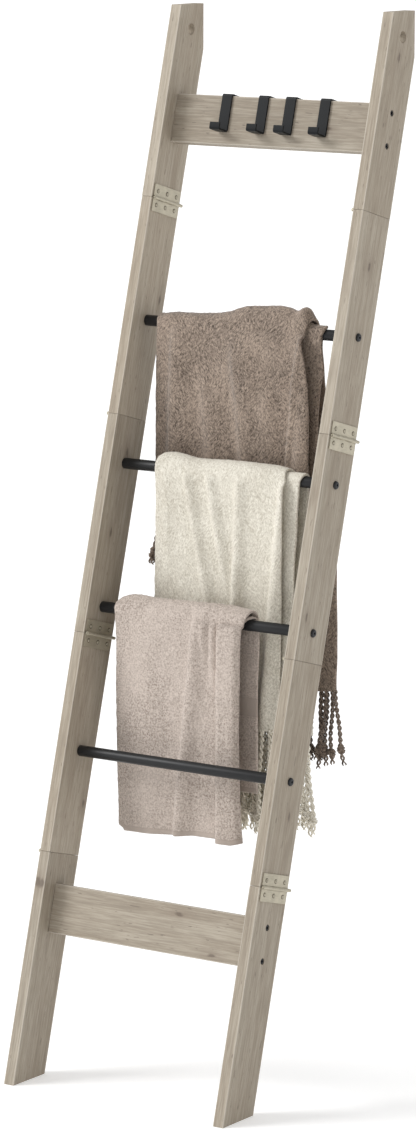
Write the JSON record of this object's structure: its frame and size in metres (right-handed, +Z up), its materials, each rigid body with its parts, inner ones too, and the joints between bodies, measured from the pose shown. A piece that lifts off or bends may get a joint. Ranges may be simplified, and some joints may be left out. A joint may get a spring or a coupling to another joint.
{
  "type": "blanket ladder rack with throws",
  "caption": "Leaning ladder rack of hinged wooden rails, steel rungs and hooks, with folded plush throws and a towel over the rungs.",
  "frame": {"origin": "on the floor, half-way between the rails and half-way from their front toes to the wall plane", "axes": "+Z up, +X along the rungs to the right of a person facing the rack, +Y towards the wall it leans on"},
  "size_m": [0.4634, 0.56, 1.8],
  "materials": {
    "rail_wood": "greige oak grain, matt",
    "board_wood": "greige oak grain with knots, matt",
    "rung_black": "black powder coat, satin",
    "hook_black": "black powder coat, satin",
    "bolt_black": "black oxide, satin",
    "hinge_brass": "pale brushed brass",
    "brown_plush": "short mottled plush pile",
    "cream_plush": "short mottled plush pile",
    "taupe_terry": "looped terry pile"
  },
  "bodies": {
    "rack": {"left_rail_1": "rail_wood", "left_rail_2": "rail_wood", "left_rail_3": "rail_wood", "left_rail_4": "rail_wood", "left_rail_5": "rail_wood", "left_hinge_1_upper_leaf": "hinge_brass", "left_hinge_1_lower_leaf": "hinge_brass", "left_hinge_2_upper_leaf": "hinge_brass", "left_hinge_2_lower_leaf": "hinge_brass", "left_hinge_3_upper_leaf": "hinge_brass", "left_hinge_3_lower_leaf": "hinge_brass", "left_hinge_4_upper_leaf": "hinge_brass", "left_hinge_4_lower_leaf": "hinge_brass", "left_rung_bolt_1": "bolt_black", "left_rung_bolt_2": "bolt_black", "left_rung_bolt_3": "bolt_black", "left_rung_bolt_4": "bolt_black", "left_bottom_board_bolt_lower": "bolt_black", "left_bottom_board_bolt_upper": "bolt_black", "left_top_board_bolt_lower": "bolt_black", "left_top_board_bolt_upper": "bolt_black", "right_rail_1": "rail_wood", "right_rail_2": "rail_wood", "right_rail_3": "rail_wood", "right_rail_4": "rail_wood", "right_rail_5": "rail_wood", "right_hinge_1_upper_leaf": "hinge_brass", "right_hinge_1_lower_leaf": "hinge_brass", "right_hinge_2_upper_leaf": "hinge_brass", "right_hinge_2_lower_leaf": "hinge_brass", "right_hinge_3_upper_leaf": "hinge_brass", "right_hinge_3_lower_leaf": "hinge_brass", "right_hinge_4_upper_leaf": "hinge_brass", "right_hinge_4_lower_leaf": "hinge_brass", "right_rung_bolt_1": "bolt_black", "right_rung_bolt_2": "bolt_black", "right_rung_bolt_3": "bolt_black", "right_rung_bolt_4": "bolt_black", "right_bottom_board_bolt_lower": "bolt_black", "right_bottom_board_bolt_upper": "bolt_black", "right_top_board_bolt_lower": "bolt_black", "right_top_board_bolt_upper": "bolt_black", "bottom_board": "board_wood", "top_board": "board_wood", "rung_1": "rung_black", "rung_2": "rung_black", "rung_3": "rung_black", "rung_4": "rung_black"},
    "hook_1": {"hook_1": "hook_black"},
    "hook_2": {"hook_2": "hook_black"},
    "hook_3": {"hook_3": "hook_black"},
    "hook_4": {"hook_4": "hook_black"},
    "brown_throw": {"brown_throw": "brown_plush"},
    "cream_throw": {"cream_throw": "cream_plush"},
    "taupe_towel": {"taupe_towel": "taupe_terry"}
  },
  "joints": [
    {"name": "hook_1_slide", "type": "slide", "parent": "rack", "child": "hook_1", "axis": [1, 0, 0], "range_m": [-0.094, 0.027]},
    {"name": "hook_2_slide", "type": "slide", "parent": "rack", "child": "hook_2", "axis": [1, 0, 0], "range_m": [-0.027, 0.017]},
    {"name": "hook_3_slide", "type": "slide", "parent": "rack", "child": "hook_3", "axis": [1, 0, 0], "range_m": [-0.017, 0.024]},
    {"name": "hook_4_slide", "type": "slide", "parent": "rack", "child": "hook_4", "axis": [1, 0, 0], "range_m": [-0.024, 0.094]},
    {"name": "brown_throw_slide", "type": "slide", "parent": "rack", "child": "brown_throw", "axis": [1, 0, 0], "range_m": [-0.03, 0.026]},
    {"name": "cream_throw_slide", "type": "slide", "parent": "rack", "child": "cream_throw", "axis": [1, 0, 0], "range_m": [-0.072, 0.028]},
    {"name": "taupe_towel_slide", "type": "slide", "parent": "rack", "child": "taupe_towel", "axis": [1, 0, 0], "range_m": [-0.029, 0.084]}
  ]
}
